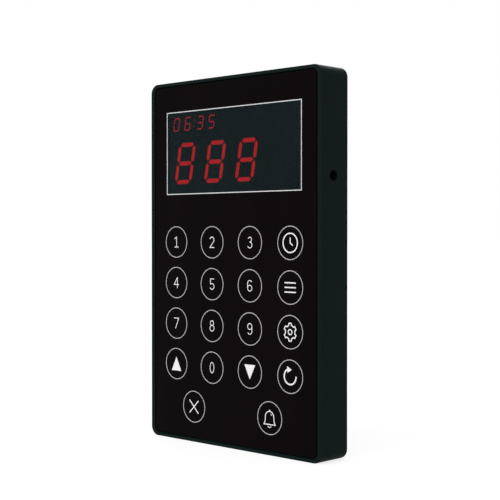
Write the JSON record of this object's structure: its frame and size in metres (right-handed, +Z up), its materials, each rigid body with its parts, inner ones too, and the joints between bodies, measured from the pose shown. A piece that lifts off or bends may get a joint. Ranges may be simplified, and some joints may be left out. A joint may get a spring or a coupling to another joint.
{
  "type": "wireless call keypad",
  "caption": "Slim upright call keypad: dark plastic case, black touch panel with printed round keys, red figure display behind a smoked window, radio transmitter and battery inside.",
  "frame": {"origin": "under the middle of the part's box, on the surface that the case stands on", "axes": "+Z up along the case's height, front panel facing -Y, +X to the right seen from the front, +Y towards the rear cover"},
  "size_m": [0.115, 0.0196, 0.1802],
  "materials": {
    "case_plastic": "fine satin grain",
    "cover_plastic": "fine matt grain",
    "black_gloss": "polished",
    "smoked_window": "polished, smoked",
    "white_print": "flat ink",
    "clear_tape": "translucent adhesive",
    "reflector_plastic": "matt",
    "lit_resin": "clear resin, lit red",
    "lit_resin_dim": "clear resin, lit dim red",
    "unlit_resin": "clear resin, unlit",
    "board_green": "solder mask",
    "copper_pad": "tinned copper",
    "pin_metal": "tinned",
    "steel_zinc": "zinc plated",
    "sheet_steel": "bright tin plate",
    "chip_black": "moulded resin",
    "chip_light": "ceramic",
    "part_black": "moulded nylon",
    "connector_white": "moulded nylon",
    "foot_rubber": "soft, matt",
    "cell_foil": "foil pouch",
    "foam_grey": "foam",
    "lead_red": "soft insulation",
    "lead_black": "soft insulation"
  },
  "bodies": {
    "keypad": {"housing": "case_plastic", "rear_cover": "cover_plastic", "cover_screws": "steel_zinc", "board_screws": "steel_zinc", "rubber_feet": "foot_rubber", "front_panel": "black_gloss", "display_window": "smoked_window", "window_frame_line": "white_print", "key_rings": "white_print", "key_numerals": "white_print", "key_arrows": "white_print", "key_symbols": "white_print", "panel_tape": "clear_tape", "display_body": "reflector_plastic", "lit_digits": "lit_resin", "lit_clock": "lit_resin_dim", "unlit_bars": "unlit_resin", "display_signs": "unlit_resin", "display_base": "board_green", "display_pins": "pin_metal", "light_chips": "chip_light", "touch_board": "board_green", "touch_pads": "copper_pad", "touch_tape": "clear_tape", "touch_controller": "chip_black", "main_board": "board_green", "link_header": "part_black", "link_socket": "part_black", "link_pin_row": "pin_metal", "microcontroller": "chip_black", "display_drivers": "chip_black", "chip_legs": "pin_metal", "radio_board": "board_green", "radio_shield": "sheet_steel", "antenna_coil": "copper_pad", "crystal": "sheet_steel", "capacitor_bases": "part_black", "capacitor_cans": "sheet_steel", "buzzer": "part_black", "chip_resistors": "chip_black", "power_regulator": "chip_black", "jack_body": "part_black", "jack_pin": "pin_metal", "jack_tabs": "pin_metal", "switch_frame": "sheet_steel", "switch_base": "part_black", "battery_cell": "cell_foil", "battery_foam": "foam_grey", "battery_board": "board_green", "battery_plug": "connector_white", "battery_socket": "connector_white", "battery_lead_red": "lead_red", "battery_lead_black": "lead_black"},
    "switch_knob": {"switch_slider": "part_black"}
  },
  "joints": [
    {"name": "power_switch_slide", "type": "slide", "parent": "keypad", "child": "switch_knob", "axis": [0, 0, -1], "range_m": [0, 0.002]}
  ]
}
